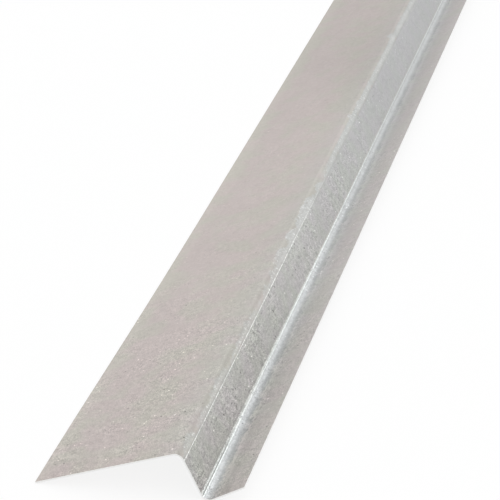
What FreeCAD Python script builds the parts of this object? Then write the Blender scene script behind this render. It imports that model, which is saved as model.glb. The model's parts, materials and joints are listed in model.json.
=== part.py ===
import FreeCAD, Part
import Sketcher
import math
import os
from collections import namedtuple

# Z flashing: one strip of thin galvanised steel, formed with two opposite bends along its length.
# Millimetres. X runs across the strip, Y along it, and Z up from the floor that it lies on.
# It lies unheld on the slit edge of its wide flange and on its lower bend, with the lip raised.
# The origin is at floor level, under the middle of the strip.

# Each width is measured on the upper face, from a slit edge or from one sharp corner to the next.
# A sharp corner is where two flat stretches would meet if the bend had no radius.
# Radii are those of the inside of a bend. A turn is how far a bend deflects the sheet, in degrees.
DIMENSIONS = {
    "stock_length": 3048.0,
    "sheet_thickness": 0.48,
    "flange_width": 44.45,
    "web_width": 16.2,
    "lip_width": 12.7,
    "upper_bend_radius": 2.2,
    "lower_bend_radius": 2.2,
    "upper_bend_turn": 82.0,
    "lower_bend_turn": 91.0,
}

doc = FreeCAD.newDocument("z_flashing")
sheet = doc.addObject("Spreadsheet::Sheet", "Dimensions")
for row, (alias, value) in enumerate(DIMENSIONS.items(), start=1):
    sheet.set(f"A{row}", alias)
    sheet.set(f"B{row}", str(value))
    sheet.setAlias(f"B{row}", alias)
doc.recompute()


def size(alias):
    return float(sheet.get(alias))


def origin_plane(body, role):
    for feature in body.Origin.OriginFeatures:
        if feature.Role == role:
            return feature
    raise ValueError(role)


QUARTER_TURN = 90


def heading(angle):
    """Unit vector in the section, at an angle in degrees above the floor."""
    return FreeCAD.Vector(math.cos(math.radians(angle)), math.sin(math.radians(angle)), 0)


def out_of_face(angle):
    """Unit vector square to the upper face of a stretch that runs at this heading."""
    return heading(angle + QUARTER_TURN)


class Section:
    """Places in the strip's section, with its flange at a given slope.

    The strip starts at the flange's slit edge, with its upper face to the left.
    The upper bend turns it down, about a centre under the sheet.
    The lower bend turns it out again, about a centre over the sheet.
    """

    def __init__(self, slope):
        thickness = size("sheet_thickness")
        self.flange = slope
        self.web = self.flange - size("upper_bend_turn")
        self.lip = self.web + size("lower_bend_turn")

        self.flange_edge = FreeCAD.Vector(0, 0, 0)
        self.upper_corner = self.flange_edge + heading(self.flange) * size("flange_width")
        self.lower_corner = self.upper_corner + heading(self.web) * size("web_width")
        self.lip_edge = self.lower_corner + heading(self.lip) * size("lip_width")
        self.flange_edge_under = self.flange_edge - out_of_face(self.flange) * thickness
        self.lip_edge_under = self.lip_edge - out_of_face(self.lip) * thickness

        over_radius = size("upper_bend_radius") + thickness
        over_set_back = over_radius * math.tan(math.radians(size("upper_bend_turn") / 2))
        self.upper_centre = (self.upper_corner - heading(self.flange) * over_set_back
                             - out_of_face(self.flange) * over_radius)
        lower_radius = size("lower_bend_radius")
        lower_set_back = lower_radius * math.tan(math.radians(size("lower_bend_turn") / 2))
        self.lower_centre = (self.lower_corner - heading(self.web) * lower_set_back
                             + out_of_face(self.web) * lower_radius)

    def move(self, offset):
        for name, place in vars(self).items():
            if isinstance(place, FreeCAD.Vector):
                setattr(self, name, place + offset)


def resting_section():
    """The section at the slope where its slit edge and its lower bend both touch the floor."""
    level = Section(0)
    reach = level.lower_centre - level.flange_edge_under
    rise = size("lower_bend_radius") + size("sheet_thickness")
    slope = math.degrees(math.asin(rise / reach.Length) - math.atan2(reach.y, reach.x))
    resting = Section(slope)
    middle = (resting.flange_edge.x + resting.lip_edge_under.x) / 2
    resting.move(FreeCAD.Vector(-middle, -resting.flange_edge_under.y, 0))
    return resting


# How a sketch numbers the points of a line or an arc, and then its own two axes.
START, END, CENTRE = range(1, 4)
FLOOR, HEIGHT = range(-1, -3, -1)

Face = namedtuple("Face", "flange upper_bend web lower_bend lip")


def draw_line(sketch, start, end):
    return sketch.addGeometry(Part.LineSegment(start, end), False)


def draw_bend(sketch, centre, radius, first_angle, last_angle):
    circle = Part.Circle(centre, FreeCAD.Vector(0, 0, 1), radius)
    arc = Part.ArcOfCircle(circle, math.radians(first_angle), math.radians(last_angle))
    return sketch.addGeometry(arc, False)


def draw_face(sketch, at, first_edge, last_edge, upper_radius, lower_radius):
    """One face of the sheet: three flats and two bends, each tangent to the next."""
    flange_end = at.upper_centre + out_of_face(at.flange) * upper_radius
    web_start = at.upper_centre + out_of_face(at.web) * upper_radius
    web_end = at.lower_centre - out_of_face(at.web) * lower_radius
    lip_start = at.lower_centre - out_of_face(at.lip) * lower_radius
    face = Face(
        flange=draw_line(sketch, first_edge, flange_end),
        upper_bend=draw_bend(sketch, at.upper_centre, upper_radius,
                             at.web + QUARTER_TURN, at.flange + QUARTER_TURN),
        web=draw_line(sketch, web_start, web_end),
        lower_bend=draw_bend(sketch, at.lower_centre, lower_radius,
                             at.web - QUARTER_TURN, at.lip - QUARTER_TURN),
        lip=draw_line(sketch, lip_start, last_edge),
    )
    sketch.addConstraint([
        Sketcher.Constraint("Tangent", face.flange, END, face.upper_bend, END),
        Sketcher.Constraint("Tangent", face.upper_bend, START, face.web, START),
        Sketcher.Constraint("Tangent", face.web, END, face.lower_bend, START),
        Sketcher.Constraint("Tangent", face.lower_bend, END, face.lip, START),
    ])
    return face


def draw_sharp_corner(sketch, place, stretch, next_stretch):
    """Construction point where two flats of the upper face would meet."""
    point = sketch.addGeometry(Part.Point(place), True)
    sketch.addConstraint([
        Sketcher.Constraint("PointOnObject", point, START, stretch),
        Sketcher.Constraint("PointOnObject", point, START, next_stretch),
    ])
    return point


def dimension(sketch, name, expression, *terms):
    """A named measure in the sketch that follows the sheet of dimensions."""
    number = sketch.addConstraint(Sketcher.Constraint(*terms))
    sketch.renameConstraint(number, name)
    sketch.setExpression(f"Constraints.{name}", expression)


def draw_section(sketch):
    at = resting_section()
    thickness = size("sheet_thickness")
    over_radius = size("upper_bend_radius")
    under_radius = size("lower_bend_radius")
    top = draw_face(sketch, at, at.flange_edge, at.lip_edge, over_radius + thickness, under_radius)
    under = draw_face(sketch, at, at.flange_edge_under, at.lip_edge_under,
                      over_radius, under_radius + thickness)
    flange_slit = draw_line(sketch, at.flange_edge_under, at.flange_edge)
    lip_slit = draw_line(sketch, at.lip_edge, at.lip_edge_under)

    # The faces are parallel, the slit edges square to them, and each bend has one centre.
    sketch.addConstraint([
        Sketcher.Constraint("Parallel", top.flange, under.flange),
        Sketcher.Constraint("Parallel", top.lip, under.lip),
        Sketcher.Constraint("Coincident", flange_slit, START, under.flange, START),
        Sketcher.Constraint("Coincident", flange_slit, END, top.flange, START),
        Sketcher.Constraint("Coincident", lip_slit, START, top.lip, END),
        Sketcher.Constraint("Coincident", lip_slit, END, under.lip, END),
        Sketcher.Constraint("Perpendicular", flange_slit, top.flange),
        Sketcher.Constraint("Perpendicular", lip_slit, top.lip),
        Sketcher.Constraint("Coincident", top.upper_bend, CENTRE, under.upper_bend, CENTRE),
        Sketcher.Constraint("Coincident", top.lower_bend, CENTRE, under.lower_bend, CENTRE),
    ])

    # The strip rests on its flange's edge and its lower bend, with its width centred.
    middle = sketch.addGeometry(Part.Point(FreeCAD.Vector(0, at.lip_edge.y / 2, 0)), True)
    sketch.addConstraint([
        Sketcher.Constraint("PointOnObject", under.flange, START, FLOOR),
        Sketcher.Constraint("Tangent", under.lower_bend, FLOOR),
        Sketcher.Constraint("PointOnObject", middle, START, HEIGHT),
        Sketcher.Constraint("Symmetric", top.flange, START, under.lip, END, middle, START),
    ])

    upper_corner = draw_sharp_corner(sketch, at.upper_corner, top.flange, top.web)
    lower_corner = draw_sharp_corner(sketch, at.lower_corner, top.web, top.lip)
    dimension(sketch, "flange_width", "Dimensions.flange_width",
              "Distance", top.flange, START, upper_corner, START, size("flange_width"))
    dimension(sketch, "web_width", "Dimensions.web_width",
              "Distance", upper_corner, START, lower_corner, START, size("web_width"))
    dimension(sketch, "lip_width", "Dimensions.lip_width",
              "Distance", lower_corner, START, top.lip, END, size("lip_width"))
    dimension(sketch, "upper_bend_turn", "Dimensions.upper_bend_turn",
              "Angle", top.web, top.flange, math.radians(size("upper_bend_turn")))
    dimension(sketch, "lower_bend_turn", "Dimensions.lower_bend_turn",
              "Angle", top.web, top.lip, math.radians(size("lower_bend_turn")))
    dimension(sketch, "upper_bend_inside", "Dimensions.upper_bend_radius",
              "Radius", under.upper_bend, over_radius)
    dimension(sketch, "upper_bend_outside", "Dimensions.upper_bend_radius + Dimensions.sheet_thickness",
              "Radius", top.upper_bend, over_radius + thickness)
    dimension(sketch, "lower_bend_inside", "Dimensions.lower_bend_radius",
              "Radius", top.lower_bend, under_radius)
    dimension(sketch, "lower_bend_outside", "Dimensions.lower_bend_radius + Dimensions.sheet_thickness",
              "Radius", under.lower_bend, under_radius + thickness)


# The whole strip: its section, drawn across, runs the length that the stock is sold in.
strip = doc.addObject("PartDesign::Body", "z_flashing")
strip.Label = "z_flashing"
strip.Placement = FreeCAD.Placement()
section = strip.newObject("Sketcher::SketchObject", "strip_section")
section.AttachmentSupport = [(origin_plane(strip, "XZ_Plane"), "")]
section.MapMode = "FlatFace"
doc.recompute()
draw_section(section)
doc.recompute()
length_run = strip.newObject("PartDesign::Pad", "length_run")
length_run.Profile = section
length_run.SideType = "Symmetric"
length_run.setExpression("Length", "Dimensions.stock_length")
strip.Tip = length_run
doc.recompute()

if not section.FullyConstrained:
    raise RuntimeError("the section is not fully constrained")
for item in doc.Objects:
    if "Invalid" in item.State or "Error" in item.State:
        raise RuntimeError(f"{item.Label} failed")
if strip.Shape.isNull() or not strip.Shape.isValid():
    raise RuntimeError(f"{strip.Label} has no valid shape")

os.makedirs("parts", exist_ok=True)
strip.Shape.exportStep(f"parts/{strip.Label}.step")
bounds = strip.Shape.BoundBox
print(f"{strip.Label}: {bounds.XLength:.2f} x {bounds.YLength:.2f} x {bounds.ZLength:.2f} mm,",
      f"volume {strip.Shape.Volume:.1f} mm3")
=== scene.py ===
import json
import math

import bmesh
import bpy
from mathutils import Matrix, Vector


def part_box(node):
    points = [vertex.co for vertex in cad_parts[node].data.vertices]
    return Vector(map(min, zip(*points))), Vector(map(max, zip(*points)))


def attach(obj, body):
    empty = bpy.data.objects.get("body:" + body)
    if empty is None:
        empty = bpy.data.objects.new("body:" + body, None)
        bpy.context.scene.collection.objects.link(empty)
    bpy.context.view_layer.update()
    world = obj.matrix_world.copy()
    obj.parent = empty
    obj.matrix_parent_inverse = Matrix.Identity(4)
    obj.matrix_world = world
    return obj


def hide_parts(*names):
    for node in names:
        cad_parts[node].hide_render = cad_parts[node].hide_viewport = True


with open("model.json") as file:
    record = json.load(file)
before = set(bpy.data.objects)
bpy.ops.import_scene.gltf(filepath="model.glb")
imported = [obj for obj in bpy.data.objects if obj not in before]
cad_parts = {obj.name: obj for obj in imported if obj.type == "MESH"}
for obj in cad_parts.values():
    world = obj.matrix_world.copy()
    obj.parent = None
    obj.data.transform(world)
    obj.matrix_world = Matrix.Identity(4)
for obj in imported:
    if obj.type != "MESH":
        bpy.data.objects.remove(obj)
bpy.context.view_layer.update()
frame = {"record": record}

# The strip is one length of 28 gauge steel sheet, coated with zinc by hot dipping.
# It is slit to width and folded twice on a brake, and its ends are sheared square.
# Its section starts at the flange's slit edge and follows the upper face to the lip's.
SHEET_THICKNESS = 0.00048
FLANGE_WIDTH = 0.04445
WEB_WIDTH = 0.0162
LIP_WIDTH = 0.0127
BEND_INSIDE_RADIUS = 0.0022
UPPER_BEND_TURN = math.radians(82)
LOWER_BEND_TURN = math.radians(91)

strip_low, strip_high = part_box("z_flashing")
STRIP_LENGTH = strip_high.y - strip_low.y
wall_axis = frame["record"]["mounts"][0]["axis"]
flange_slope = math.atan2(-wall_axis[0], wall_axis[2])


def heading(slope):
    """Unit vector across the strip, at this slope above the floor."""
    return Vector((math.cos(slope), 0, math.sin(slope)))


flange_edge = Vector((strip_low.x, strip_low.y, SHEET_THICKNESS * math.cos(flange_slope)))
web_slope = flange_slope - UPPER_BEND_TURN
lip_slope = web_slope + LOWER_BEND_TURN
upper_corner = flange_edge + heading(flange_slope) * FLANGE_WIDTH
lower_corner = upper_corner + heading(web_slope) * WEB_WIDTH
lip_edge = lower_corner + heading(lip_slope) * LIP_WIDTH
upper_set_back = (BEND_INSIDE_RADIUS + SHEET_THICKNESS) * math.tan(UPPER_BEND_TURN / 2)
lower_set_back = BEND_INSIDE_RADIUS * math.tan(LOWER_BEND_TURN / 2)
flange_end = upper_corner - heading(flange_slope) * upper_set_back
web_start = upper_corner + heading(web_slope) * upper_set_back
web_end = lower_corner - heading(web_slope) * lower_set_back
lip_start = lower_corner + heading(lip_slope) * lower_set_back

# The sharp-cornered sheet, drawn out along the strip.
sheet = bmesh.new()
corners = [sheet.verts.new(corner) for corner in (flange_edge, upper_corner, lower_corner, lip_edge)]
section = [sheet.edges.new(pair) for pair in zip(corners, corners[1:])]
drawn = bmesh.ops.extrude_edge_only(sheet, edges=section)
far_corners = [item for item in drawn["geom"] if isinstance(item, bmesh.types.BMVert)]
bmesh.ops.translate(sheet, verts=far_corners, vec=(0, STRIP_LENGTH, 0))
bmesh.ops.reverse_faces(sheet, faces=sheet.faces[:])

# The two folds, rounded.
BEND_STEPS = 12
NEAR = 1e-6
for corner, set_back in ((upper_corner, upper_set_back), (lower_corner, lower_set_back)):
    fold = [edge for edge in sheet.edges
            if all(abs(v.co.x - corner.x) < NEAR and abs(v.co.z - corner.z) < NEAR for v in edge.verts)]
    bmesh.ops.bevel(sheet, geom=fold, offset=set_back, offset_type="OFFSET",
                    segments=BEND_STEPS, profile=0.5, affect="EDGES", material=-1)

# Lines along the flats: two close to each bend and slit edge, and the others evenly spaced.
CLOSE_LINE = 0.00025
FLANGE_PANELS = 9
WEB_PANELS = 4
LIP_PANELS = 4
flats = ((flange_edge, flange_end, FLANGE_PANELS), (web_start, web_end, WEB_PANELS),
         (lip_start, lip_edge, LIP_PANELS))
for start, end, panels in flats:
    run = end - start
    along = run.normalized()
    places = [start + run * step / panels for step in range(1, panels)]
    places += [start + along * CLOSE_LINE * step for step in (1, 2)]
    places += [end - along * CLOSE_LINE * step for step in (1, 2)]
    for place in places:
        flat = [face for face in sheet.faces
                if all(abs((v.co - start).cross(along).y) < NEAR
                       and -NEAR < (v.co - start).dot(along) < run.length + NEAR for v in face.verts)]
        parts = list({part for face in flat for part in (face, *face.edges, *face.verts)})
        bmesh.ops.bisect_plane(sheet, geom=parts, plane_co=place, plane_no=along, dist=NEAR / 10)

# Every point keeps its distance from the slit edge, measured over the upper face.
across = sheet.verts.layers.float.new("across")
for end in (strip_low.y, strip_high.y):
    section_line = sorted((v for v in sheet.verts if abs(v.co.y - end) < NEAR), key=lambda v: v.co.x)
    for before, after in zip(section_line, section_line[1:]):
        after[across] = before[across] + (after.co - before.co).length


def distance_to(place):
    """How far this place of the section is from the slit edge."""
    return min(section_line, key=lambda v: abs(v.co.x - place.x))[across]


upper_from, upper_to = distance_to(flange_end), distance_to(web_start)
lower_from, lower_to = distance_to(web_end), distance_to(lip_start)
sheet_width = distance_to(lip_edge)

# Rows along the strip's length, then the sheet's thickness below its upper face.
BLOCKS = 5
ROWS_PER_BLOCK = 60
long_lines = [edge for edge in sheet.edges if edge.calc_length() > STRIP_LENGTH / 2]
bmesh.ops.subdivide_edges(sheet, edges=long_lines, cuts=BLOCKS * ROWS_PER_BLOCK - 1, use_grid_fill=True)
doubled = bmesh.ops.solidify(sheet, geom=sheet.faces[:], thickness=SHEET_THICKNESS)
under_faces = {item for item in doubled["geom"] if isinstance(item, bmesh.types.BMFace)}
under_verts = {vert for face in under_faces for vert in face.verts}


def beneath(distance):
    """Where the developed map shows the under face, at this distance from the slit edge."""
    return -SHEET_THICKNESS - distance


# The developed map is the sheet laid flat, in metres, with its under face turned over about the slit edge.
# The bake map has the same drawing cut into blocks, side by side.
MAP_GAP = 0.0015
developed = sheet.loops.layers.uv.new("developed")
baked = sheet.loops.layers.uv.new("OFBake")
column = 2 * (sheet_width + SHEET_THICKNESS + MAP_GAP)
block_length = STRIP_LENGTH / BLOCKS
for face in sheet.faces:
    block = min(int((face.calc_center_median().y - strip_low.y) / block_length), BLOCKS - 1)
    at_end = abs(face.normal.y) > 0.5
    for loop in face.loops:
        u, v = loop.vert[across], loop.vert.co.y
        if face in under_faces:
            u = beneath(u)
        elif loop.vert in under_verts and at_end:
            v += math.copysign(SHEET_THICKNESS, v)
        elif loop.vert in under_verts:
            u += math.copysign(SHEET_THICKNESS, u - sheet_width / 2)
        loop[developed].uv = (u, v)
        loop[baked].uv = ((u + column * (block + 0.5)) / (column * BLOCKS),
                          (v - strip_low.y - block * block_length + MAP_GAP) / (block_length + 2 * MAP_GAP))

# The cut edges are eased by a hair.
CUT_EDGE_EASE = 0.00006
CUT_EDGE_ANGLE = math.radians(60)
cut_edges = [edge for edge in sheet.edges if edge.calc_face_angle(0) > CUT_EDGE_ANGLE]
bmesh.ops.bevel(sheet, geom=cut_edges, offset=CUT_EDGE_EASE, offset_type="OFFSET",
                segments=2, profile=0.5, affect="EDGES", material=-1)

# The brake's tools press a low ridge along the web at each bend, and the strip isn't quite true:
# the flange's slit edge flares at the ends, the lip's draws in there, the upper bend wanders,
# and the flange is a little dished.
RIDGE_HEIGHT = 0.00005
FLARE = 0.00125
FLARE_LENGTH = 0.1
LIP_DRAW = 0.0003
LIP_DRAW_LENGTH = 0.17
WANDER = 0.00153
DISH = 0.00012
DISH_LENGTH = 0.31
web_out = heading(web_slope + math.pi / 2)
for vert in sheet.verts:
    distance, y = vert[across], vert.co.y
    inland = STRIP_LENGTH / 2 - abs(y)
    if vert not in under_verts and min(abs(distance - upper_to), abs(distance - lower_from)) < NEAR:
        vert.co += web_out * RIDGE_HEIGHT
    on_flange = max(0.0, 1 - distance / upper_from)
    on_web = min(max(0.0, (lower_from - distance) / (lower_from - upper_to)), 1.0)
    on_lip = max(0.0, (distance - lower_to) / (sheet_width - lower_to))
    pull = FLARE * (1 - math.exp(-(inland / FLARE_LENGTH) ** 2)) * on_flange
    draw = LIP_DRAW * math.exp(-inland / LIP_DRAW_LENGTH) * on_lip
    drift = WANDER * math.sin(2 * math.pi * (y - strip_low.y) / STRIP_LENGTH) * (1 - on_flange) * on_web
    dish = DISH * math.sin(math.pi * on_flange) * math.sin(2 * math.pi * y / DISH_LENGTH)
    vert.co += Vector((pull - drift - draw, 0, dish))

SMOOTH_UP_TO = math.radians(40)
strip_mesh = bpy.data.meshes.new("galvanised_strip")
sheet.to_mesh(strip_mesh)
sheet.free()
strip_mesh.shade_smooth()
strip_mesh.set_sharp_from_angle(angle=SMOOTH_UP_TO)
strip = bpy.data.objects.new("galvanised_strip", strip_mesh)
bpy.context.scene.collection.objects.link(strip)
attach(strip, "root")
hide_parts("z_flashing")

# The zinc coating: a fine matt spangle, crazed over the outside of each bend,
# burnished by the brake inside each bend, and bare steel on the cut edges.
zinc = bpy.data.materials.new("zinc_coat")
zinc.use_nodes = True
tree = zinc.node_tree
shader = tree.nodes["Principled BSDF"]


def node(kind, inputs, **settings):
    """Adds a node to the zinc, sets it up, and links or sets its inputs."""
    added = tree.nodes.new(kind)
    for name, value in settings.items():
        setattr(added, name, value)
    for socket, value in inputs.items():
        if isinstance(value, bpy.types.NodeSocket):
            tree.links.new(value, added.inputs[socket])
        else:
            added.inputs[socket].default_value = value
    return added.outputs


def maths(operation, *values):
    """One sum on numbers or sockets."""
    return node("ShaderNodeMath", dict(enumerate(values)), operation=operation)[0]


def vector_maths(operation, *values):
    """One sum on places or colours."""
    return node("ShaderNodeVectorMath", dict(enumerate(values)), operation=operation)[0]


def chained(operation, first, *others):
    """Takes the values in turn into one result."""
    result = first
    for value in others:
        result = maths(operation, result, value)
    return result


def sum_of(*values):
    return chained("ADD", *values)


def product_of(*values):
    return chained("MULTIPLY", *values)


def greatest_of(*values):
    return chained("MAXIMUM", *values)


def ramp(value, low, high, low_result=0.0, high_result=1.0):
    """Goes smoothly from one result to the other as the value goes from low to high."""
    return node("ShaderNodeMapRange", {"Value": value, "From Min": low, "From Max": high,
                                       "To Min": low_result, "To Max": high_result},
                interpolation_type="SMOOTHSTEP")["Result"]


def band(value, low, high, soft):
    """Is 1 between low and high, with soft edges."""
    return product_of(ramp(value, low - soft, low + soft), ramp(value, high - soft, high + soft, 1.0, 0.0))


def swing(value, size):
    """Turns a value from 0 to 1 into one that swings this far each way about nothing."""
    return maths("MULTIPLY_ADD", value, 2 * size, -size)


def channels(colour):
    """A colour's red, green and blue."""
    return node("ShaderNodeSeparateColor", {0: colour})


def mixed(share, first, second):
    """Mixes two colours. The share is the second one's."""
    return node("ShaderNodeMix", {0: share, 6: first, 7: second}, data_type="RGBA")[2]


# Where a point of the coat lies: in the strip, across and along the developed map,
# from the nearer end, and from the slit edge on either face.
position = node("ShaderNodeTexCoord", {})["Object"]
laid_flat = node("ShaderNodeSeparateXYZ", {0: node("ShaderNodeUVMap", {}, uv_map="developed")[0]})
line, length = laid_flat[0], laid_flat[1]
from_end = maths("SUBTRACT", STRIP_LENGTH / 2, maths("ABSOLUTE", length))
reach = maths("SUBTRACT", maths("ABSOLUTE", sum_of(line, SHEET_THICKNESS / 2)), SHEET_THICKNESS / 2)
folded = ramp(reach, upper_from, upper_to)
web = band(reach, upper_to, lower_from, 0.0008)
lip = ramp(reach, lower_from, lower_to)


def noise(size, detail=2.0, at=position):
    """Noise whose blotches are about this size, in metres."""
    return node("ShaderNodeTexNoise", {"Vector": at, "Scale": 1 / size, "Detail": detail})


def cells(size, at=position):
    """Cells of about this size, in metres, like the crystals of the coat."""
    return node("ShaderNodeTexVoronoi", {"Vector": at, "Scale": 1 / size})


def line_mark(low, high, soft, start, stop, at_end, further_in):
    """A soft line along the strip, whose strength changes between two distances from its ends."""
    return product_of(band(line, low, high, soft), ramp(from_end, start, stop, at_end, further_in))


# The crystals have frosted edges. Light and dark specks lie among them, with a dark pit here and there.
SPANGLE = 0.0011
FROST = 0.0008
FROST_SHIFT = (0.0009, 0.0009, 0.0009)
MIDDLE_GREY = (0.5, 0.5, 0.5)
SPECK_SPACING = 0.0022
PIT_SPACING = 0.02
frost = vector_maths("SUBTRACT", noise(FROST)["Color"], MIDDLE_GREY)
crystal = channels(cells(SPANGLE, vector_maths("MULTIPLY_ADD", frost, FROST_SHIFT, position))["Color"])
dots = cells(SPECK_SPACING)
dot_pick = channels(dots["Color"])
speck = product_of(ramp(dots["Distance"], 0.08, 0.17, 1.0, 0.0), ramp(dot_pick[0], 0.5, 0.65))
pit = ramp(cells(PIT_SPACING)["Distance"], 0.012, 0.03, 1.0, 0.0)

# Four kinds of mark are drawn out along the strip, as rolling leaves them. The others are round.
ROLLED = (1, 0.42, 1)
GRAIN = 0.00024
STREAK = 0.0008
PATCH = 0.0018
JAG = 0.0035
FRAY = 0.0007
BEAD = 0.0009
SHADE = 0.008
TINT = 0.011
BULGE = 0.014
BREAK = 0.018
MOTTLE = 0.035
rolled = vector_maths("MULTIPLY", position, ROLLED)
grain = noise(GRAIN, at=rolled)["Fac"]
streak = noise(STREAK, at=rolled)["Fac"]
patch = noise(PATCH, at=rolled)["Fac"]
jag = noise(JAG, 3.0, at=rolled)["Fac"]
fray = noise(FRAY, 1.0)["Fac"]
bead = noise(BEAD)["Fac"]
shade = channels(noise(SHADE)["Color"])[0]
tint = noise(TINT)["Fac"]
bulge = noise(BULGE, 1.0)["Fac"]
breaks = noise(BREAK, 1.0)["Fac"]
mottle = noise(MOTTLE)["Fac"]

# Outside each bend the zinc is stretched, crazed and white in patches, partly painted highlight. The crazed
# # band's edge on the flange is ragged. The band is widest 16 to 20 cm from the ends, and narrow further in.
LEAST_BAND = 0.0026
UNDER_SOFT = 0.0004
ragged = sum_of(line, swing(bulge, 0.0036), swing(jag, 0.0026), swing(streak, 0.0010), swing(grain, 0.0008),
                ramp(from_end, 0.12, 0.16, -0.0016, -0.0008), ramp(from_end, 0.20, 0.24, 0.0, -0.0018),
                ramp(from_end, 0.33, 0.37, 0.0, 0.0008))
steady = sum_of(line, swing(jag, 0.0020), swing(streak, 0.0014), swing(grain, 0.0008))
least = product_of(ramp(line, upper_to - LEAST_BAND, upper_to - LEAST_BAND + 0.0008),
                   ramp(from_end, 0.2, 0.26))
crazed_upper = product_of(greatest_of(ramp(ragged, upper_from, upper_from + 0.0009), least),
                          ramp(steady, upper_to - 0.0001, upper_to + 0.0010, 1.0, 0.0))
crazed_under = band(ragged, beneath(lower_to), beneath(lower_from), UNDER_SOFT)
crazed = sum_of(crazed_upper, crazed_under)
stretched_upper = product_of(ramp(line, upper_from, upper_from + 0.0018),
                             ramp(line, upper_to, upper_to + 0.0008, 1.0, 0.0))
stretched_under = band(line, beneath(lower_to), beneath(lower_from), UNDER_SOFT)
stretched = sum_of(stretched_upper, stretched_under)
patchy = product_of(ramp(patch, 0.35, 0.6, 0.5, 1.2), ramp(breaks, 0.36, 0.48, 0.45, 1.15))
# Painted highlight: the white patches grow paler further in.
whiteness_and_highlight = sum_of(ramp(from_end, 0.06, 0.22, 0.2, 0.45),
                   product_of(band(from_end, 0.15, 0.20, 0.02), 0.3),
                   ramp(from_end, 0.25, 0.38, 0.0, 0.25))
whitened_and_highlight = product_of(crazed, patchy, whiteness_and_highlight)

# Inside each bend the brake's tools burnish the zinc.
burnished_upper = product_of(ramp(line, lower_from - 0.0001, lower_from + 0.0002),
                             ramp(steady, lower_to - 0.0012, lower_to + 0.0012, 1.0, 0.0))
burnished_under = band(steady, beneath(upper_to), beneath(upper_from), UNDER_SOFT)
burnished = sum_of(burnished_upper, burnished_under)

# The tools scuff the upper bend's ridge to a thin line of beads, and fray the crazed band beside it.
FRAYED_SHARE = 0.45
# The beaded line is partly a painted highlight, and fades out further in.
upper_start = sum_of(line, ramp(from_end, 0.0, 0.25, -0.00015, 0.0004))
upper_highlight_line = product_of(band(upper_start, upper_to, upper_to + 0.0003, 0.0001),
                        ramp(bead, 0.44, 0.56, 0.5, 1.4), ramp(from_end, 0.1, 0.25, 1.0, 0.0))
frayed = product_of(crazed_upper, ramp(line, upper_to - 0.0008, upper_to, 1.0, 0.0),
                    ramp(fray, 0.6, 0.66), ramp(from_end, 0.3, 0.4, 1.0, 0.2))
scuffed_and_highlight = sum_of(upper_highlight_line, product_of(frayed, FRAYED_SHARE))

# The lower bend's ridge is rubbed to a wider, flecked line, partly painted highlight. It has a painted
# # faint shadow on the web, and a painted dark line, the shade of a furrow, splits it close to the ends.
lower_left = ramp(sum_of(line, ramp(from_end, 0.0, 0.24, 0.00055, 0.0)),
                  lower_from - 0.0002, lower_from + 0.0002)
lower_right = ramp(sum_of(line, ramp(from_end, 0.03, 0.07, -0.00015, 0.0)),
                   lower_from + 0.0005, lower_from + 0.0009, 1.0, 0.0)
lower_middle = greatest_of(ramp(line, lower_from + 0.0001, lower_from + 0.0004, 0.55, 1.0),
                           ramp(from_end, 0.02, 0.045, 0.85, 0.0))
lower_highlight_line = product_of(lower_left, lower_right, lower_middle,
                        ramp(grain, 0.36, 0.5, 0.6, 1.0), ramp(from_end, 0.08, 0.34, 1.0, 0.5))
web_shadow = line_mark(lower_from - 0.0012, lower_from - 0.0008, soft=0.0002,
                       start=0.02, stop=0.25, at_end=0.25, further_in=0.0)
groove_shade = line_mark(lower_from + 0.0001, lower_from + 0.00045, soft=0.00006,
                   start=0.024, stop=0.042, at_end=0.85, further_in=0.0)
shadowed = sum_of(web_shadow, groove_shade)

# The slit and sheared edges show the steel.
cut = greatest_of(band(line, beneath(0.0), 0.0, 0.00001),
                  maths("GREATER_THAN", line, sheet_width),
                  maths("GREATER_THAN", maths("ABSOLUTE", length), STRIP_LENGTH / 2))

# Fine light and dark comes from crystals, grain, streaks and specks. It is strongest near the ends
# and on the web, and weak where the zinc is stretched.
grain_light = product_of(swing(grain, 0.75), ramp(from_end, 0.1, 0.42, 1.0, 0.6))
speck_light = product_of(speck, ramp(dot_pick[1], 0.45, 0.55, -0.75, 1.1))
fine = sum_of(swing(crystal[0], 0.09), grain_light, swing(streak, 0.22), speck_light)
flange_grain = product_of(ramp(from_end, 0.0, 0.2, 1.05, 0.34), ramp(from_end, 0.2, 0.42, 1.0, 0.4))
folded_grain = product_of(ramp(from_end, 0.1, 0.16, 1.0, 0.85), ramp(from_end, 0.15, 0.42, 1.0, 0.35))
grain_gain = maths("SUBTRACT", folded_grain, flange_grain)
coarseness = product_of(maths("MULTIPLY_ADD", folded, grain_gain, flange_grain),
                        ramp(web, 0.0, 1.0, 0.9, 1.4), ramp(bulge, 0.3, 0.7, 0.55, 1.35),
                        ramp(stretched, 0.0, 1.0, 1.0, 0.4))

# Painted light and shade on the flange and over the upper bend, in steps of brightness.
BRIGHTNESS_STEP = 0.035
# A painted highlight along the flange's slit edge.
slit_edge_gleam = ramp(reach, 0.0, 0.008, 2.0, 0.0)
# Painted shade further in, most on the flange, and in a patch by the bend 30 to 40 cm from the ends.
far_painted_shade = product_of(ramp(from_end, 0.24, 0.42), ramp(folded, 0.0, 1.0, -3.0, -0.5))
painted_shade_patch = product_of(band(from_end, 0.30, 0.40, 0.04), ramp(reach, 0.012, 0.036),
                        ramp(folded, 0.0, 0.6, -1.8, 0.0))
# Painted shade at the foot of the upper bend, and a painted highlight on its crest near the ends.
bend_foot_shade = line_mark(upper_from + 0.0008, upper_from + 0.0022, soft=0.0005,
                      start=0.08, stop=0.3, at_end=-2.2, further_in=-0.4)
bend_crest_highlight = line_mark(upper_from + 0.0026, upper_to - 0.0002, soft=0.0003,
                       start=0.06, stop=0.2, at_end=1.6, further_in=0.0)

# Painted light and shade on the web: darker at the ends, lighter further in as the lip is, dark in the
# middle.
folded_gleam = product_of(folded, band(from_end, 0.12, 0.30, 0.05))
web_end_shade = product_of(web, ramp(from_end, 0.0, 0.12, -1.2, 0.0))
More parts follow.
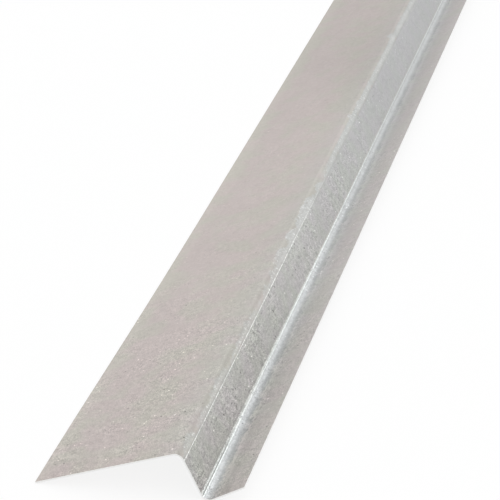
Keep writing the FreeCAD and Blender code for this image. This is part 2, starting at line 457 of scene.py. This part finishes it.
# Painted shade toward the upper bend and painted light toward the lower, further in.
web_shading = product_of(web, ramp(from_end, 0.1, 0.3), ramp(reach, upper_to, lower_from, -1.1, 1.1))
web_middle = (upper_to + lower_from) / 2
middle_line = product_of(band(reach, web_middle - 0.0013, web_middle + 0.0003, 0.0006),
                         ramp(from_end, 0.1, 0.4, -1.3, -0.4))

# Painted light and shade in the lower bend, whose painted sheen is patchy and flecked, and on the lip.
# A painted sheen where the lower bend meets the lip.
sheen_line = sum_of(line, ramp(from_end, 0.08, 0.25, 0.0008, 0.0))
sheen = product_of(ramp(line, lower_to - 0.0012, lower_to - 0.0002),
                   ramp(sheen_line, lower_to + 0.0009, lower_to + 0.0030, 4.2, 0.0))
# Painted highlights on the lower bend near the ends.
end_glow = line_mark(lower_from + 0.0005, lower_to + 0.0026, soft=0.0010,
                     start=0.018, stop=0.055, at_end=0.5, further_in=0.0)
end_gleam = line_mark(lower_from + 0.0012, lower_to + 0.0026, soft=0.0004,
                      start=0.018, stop=0.055, at_end=2.5, further_in=0.0)
burnished_patches = product_of(burnished, swing(patch, 3.0))
sheen_foot = line_mark(lower_to - 0.0016, lower_to + 0.0010, soft=0.0003,
                       start=0.1, stop=0.3, at_end=0.8, further_in=0.2)
ragged_foot = product_of(sheen_foot, swing(jag, 4.0))
fleck_line = line_mark(lower_to - 0.0004, lower_to + 0.0026, soft=0.0006,
                       start=0.04, stop=0.16, at_end=-5.0, further_in=-0.5)
dark_flecks = product_of(fleck_line, ramp(streak, 0.46, 0.39))
# A painted highlight along the lip's slit edge, and painted shade on the lip beside the bend near the ends.
lip_edge_gleam = ramp(line, sheet_width - 0.006, sheet_width)
lip_hollow_shade = line_mark(lower_to + 0.002, lower_to + 0.005, soft=0.0008,
                       start=0.04, stop=0.16, at_end=-1.2, further_in=0.0)
# All the painted light and shade, with the random patches and flecks.
painted_light_and_tone = sum_of(slit_edge_gleam, far_painted_shade, painted_shade_patch, bend_foot_shade, bend_crest_highlight,
               folded_gleam, web_end_shade, web_shading, middle_line,
               sheen, end_glow, end_gleam, burnished_patches, ragged_foot, dark_flecks,
               lip_edge_gleam, lip_hollow_shade)
brightness = sum_of(1.0, product_of(fine, coarseness), product_of(painted_light_and_tone, BRIGHTNESS_STEP),
                    swing(mottle, 0.04), swing(jag, 0.05), product_of(pit, -0.3))

# Painted reflection tint: the clean zinc is painted warm on the flange, colder on the web and the lip.
ZINC_WARM = (0.524, 0.464, 0.447, 1)
ZINC_GREEN = (0.498, 0.475, 0.428, 1)
ZINC_COOL = (0.457, 0.472, 0.449, 1)
ZINC_GREY = (0.472, 0.466, 0.471, 1)
ZINC_BLUE = (0.463, 0.467, 0.484, 1)
greener = sum_of(ramp(tint, 0.38, 0.66), ramp(reach, 0.0, 0.009, 0.45, -0.2),
                 ramp(reach, 0.012, upper_to, 0.0, 0.45),
                 product_of(lip, ramp(from_end, 0.02, 0.16, -0.2, -0.7)))
painted_cool_tint = mixed(ramp(shade, 0.38, 0.62), ZINC_COOL, ZINC_GREY)
painted_cool_web = greatest_of(product_of(web, ramp(from_end, 0.02, 0.3, 0.72, 1.0)),
                       ramp(reach, 0.03, upper_to, 0.0, 0.3))
# Painted reflection tint: the web is painted bluer further in.
painted_blue_web = product_of(web, ramp(from_end, 0.2, 0.38, 0.0, 0.45))
painted_cool_lip = product_of(lip, ramp(from_end, 0.02, 0.16, 0.2, 1.0),
                      ramp(reach, lower_to, lower_to + 0.006, 0.8, 0.22))
coat = mixed(greener, ZINC_WARM, ZINC_GREEN)
coat = mixed(painted_cool_web, coat, painted_cool_tint)
coat = mixed(painted_blue_web, coat, ZINC_BLUE)
coat = mixed(painted_cool_lip, coat, painted_cool_tint)

# The worked zinc and the bare steel come over it.
ZINC_DRY = (0.467, 0.478, 0.468, 1)
ZINC_CRAZED = (0.546, 0.548, 0.538, 1)
ZINC_BURNISHED = (0.50, 0.51, 0.515, 1)
ZINC_BEND_SHADE = (0.390, 0.395, 0.395, 1)
ZINC_SCUFFED_HIGHLIGHT = (0.89, 0.90, 0.88, 1)
ZINC_RUBBED_HIGHLIGHT = (0.90, 0.95, 0.93, 1)
ZINC_SHADOWED = (0.30, 0.30, 0.30, 1)
CUT_STEEL = (0.85, 0.85, 0.84, 1)
# Painted shade over the burnish: darker towards the lip in the lower bend, and in both bends further in.
burnish_and_bend_shade = mixed(ramp(line, lower_from + 0.0006, lower_from + 0.0022), ZINC_BURNISHED, ZINC_BEND_SHADE)
burnish_and_bend_shade = mixed(ramp(from_end, 0.08, 0.30, 0.0, 0.9), burnish_and_bend_shade, ZINC_BEND_SHADE)
coat = mixed(product_of(crazed, ramp(from_end, 0.1, 0.24, 0.4, 0.95)), coat, ZINC_DRY)
# Over it the white patches and both ridge lines, partly painted highlight, and last the painted shadows.
coat = mixed(whitened_and_highlight, coat, ZINC_CRAZED)
coat = mixed(burnished, coat, burnish_and_bend_shade)
coat = mixed(scuffed_and_highlight, coat, ZINC_SCUFFED_HIGHLIGHT)
coat = mixed(lower_highlight_line, coat, ZINC_RUBBED_HIGHLIGHT)
coat = mixed(shadowed, coat, ZINC_SHADOWED)
coat = node("ShaderNodeVectorMath", {0: coat, "Scale": brightness}, operation="SCALE")[0]
coat = mixed(cut, coat, CUT_STEEL)
tree.links.new(coat, shader.inputs["Base Color"])

# Stretched zinc is rougher, and cut steel smoother. Grain, crystals and specks stand up a little.
ZINC_ROUGHNESS = 0.46
ZINC_METALLIC = 0.8
RELIEF_HEIGHT = 0.00002
roughness = sum_of(ZINC_ROUGHNESS, swing(crystal[1], 0.05), swing(grain, 0.05),
                   product_of(stretched, 0.33), product_of(burnished, 0.05), product_of(cut, -0.08))
tree.links.new(roughness, shader.inputs["Roughness"])
relief = sum_of(product_of(grain, 0.8), product_of(crystal[2], 0.3), product_of(speck, 0.5))
bump = node("ShaderNodeBump", {"Height": relief, "Strength": 1.0, "Distance": RELIEF_HEIGHT})
tree.links.new(bump["Normal"], shader.inputs["Normal"])
shader.inputs["Metallic"].default_value = ZINC_METALLIC
strip_mesh.materials.append(zinc)

# The floor is a wide sheet of pale matt board under the strip. It glows a little to the camera
# and in reflections, so that the strip's shadow on it stays pale.
FLOOR_SIZE = 100
FLOOR_COLOUR = (0.95, 0.95, 0.95, 1)
FLOOR_GLOW = 0.85
WHITE = (1, 1, 1, 1)
floor_sheet = bmesh.new()
bmesh.ops.create_grid(floor_sheet, x_segments=1, y_segments=1, size=FLOOR_SIZE)
floor_mesh = bpy.data.meshes.new("floor")
floor_sheet.to_mesh(floor_mesh)
floor_sheet.free()
floor = bpy.data.objects.new("floor", floor_mesh)
bpy.context.scene.collection.objects.link(floor)
pale = bpy.data.materials.new("pale_floor")
pale.use_nodes = True
paint = pale.node_tree.nodes["Principled BSDF"]
paint.inputs["Base Color"].default_value = FLOOR_COLOUR
paint.inputs["Roughness"].default_value = 1.0
paint.inputs["Specular IOR Level"].default_value = 0.0
floor_mesh.materials.append(pale)


def seen_rays(backdrop):
    """Is 1 for the rays that show a backdrop: to the camera, in a reflection or through glass."""
    ray = backdrop.nodes.new("ShaderNodeLightPath")
    total = ray.outputs["Is Camera Ray"]
    for name in ("Is Glossy Ray", "Is Transmission Ray"):
        either = backdrop.nodes.new("ShaderNodeMath")
        either.operation = "MAXIMUM"
        backdrop.links.new(total, either.inputs[0])
        backdrop.links.new(ray.outputs[name], either.inputs[1])
        total = either.outputs[0]
    return total


def seen_level(backdrop, hidden, shown, socket):
    """Sets a socket to one level for the rays that show a backdrop, and to another for the rest."""
    level = backdrop.nodes.new("ShaderNodeMapRange")
    level.inputs["To Min"].default_value = hidden
    level.inputs["To Max"].default_value = shown
    backdrop.links.new(seen_rays(backdrop), level.inputs["Value"])
    backdrop.links.new(level.outputs["Result"], socket)


glow = pale.node_tree.nodes.new("ShaderNodeEmission")
glow.inputs["Color"].default_value = WHITE
lifted = pale.node_tree.nodes.new("ShaderNodeMixShader")
seen_level(pale.node_tree, 0.0, FLOOR_GLOW, lifted.inputs[0])
pale.node_tree.links.new(paint.outputs[0], lifted.inputs[1])
pale.node_tree.links.new(glow.outputs[0], lifted.inputs[2])
pale.node_tree.links.new(lifted.outputs[0], pale.node_tree.nodes["Material Output"].inputs["Surface"])

# The studio is white all round, to the camera and in reflections. As plain light it is a quarter weaker.
# Four wide lamps far off add the sheen: two behind the strip, one to its right and one in front.
STUDIO_LIGHT = 0.75
STUDIO_SHOWN = 1.0
COLD_LIGHT = (0.94, 0.98, 1.0)
PLAIN_LIGHT = (1, 1, 1)
world = bpy.data.worlds.new("studio")
bpy.context.scene.world = world
world.use_nodes = True
background = world.node_tree.nodes["Background"]
background.inputs["Color"].default_value = WHITE
seen_level(world.node_tree, STUDIO_LIGHT, STUDIO_SHOWN, background.inputs["Strength"])


def far_lamp(name, bearing, elevation, spread, power, colour):
    """A soft lamp far off. Bearing is clockwise from +Y, seen from above, in degrees."""
    bearing, elevation = math.radians(bearing), math.radians(elevation)
    lamp = bpy.data.lights.new(name, "SUN")
    lamp.energy = power
    lamp.angle = math.radians(spread)
    lamp.color = colour
    holder = bpy.data.objects.new(name, lamp)
    toward = Vector((math.sin(bearing) * math.cos(elevation), math.cos(bearing) * math.cos(elevation),
                     math.sin(elevation)))
    holder.rotation_euler = toward.to_track_quat("Z", "Y").to_euler()
    holder.visible_camera = False
    bpy.context.scene.collection.objects.link(holder)


far_lamp("back_panel", bearing=15, elevation=35, spread=40, power=0.42, colour=COLD_LIGHT)
far_lamp("low_panel", bearing=25, elevation=10, spread=60, power=0.05, colour=COLD_LIGHT)
far_lamp("right_fill", bearing=90, elevation=60, spread=90, power=0.55, colour=PLAIN_LIGHT)
far_lamp("front_fill", bearing=150, elevation=35, spread=90, power=0.30, colour=PLAIN_LIGHT)

# The camera stands in front of the near end, to its right, and looks down along the strip.
# Its place, angles and lens were fitted to the strip's long edges and near end in the photograph.
CAMERA_PLACE = (0.16493, -2.15244, 0.34656)
CAMERA_DOWN = math.radians(22.777)
CAMERA_LEFT = math.radians(11.981)
LENS = 188.44
SENSOR_WIDTH = 36
FARTHEST_SEEN = 500
camera = bpy.data.cameras.new("camera")
camera.lens = LENS
camera.sensor_width = SENSOR_WIDTH
camera.clip_end = FARTHEST_SEEN
viewer = bpy.data.objects.new("camera", camera)
viewer.location = CAMERA_PLACE
viewer.rotation_euler = (math.radians(90) - CAMERA_DOWN, 0, CAMERA_LEFT)
bpy.context.scene.collection.objects.link(viewer)
bpy.context.scene.camera = viewer
bpy.context.scene.view_settings.view_transform = "Standard"
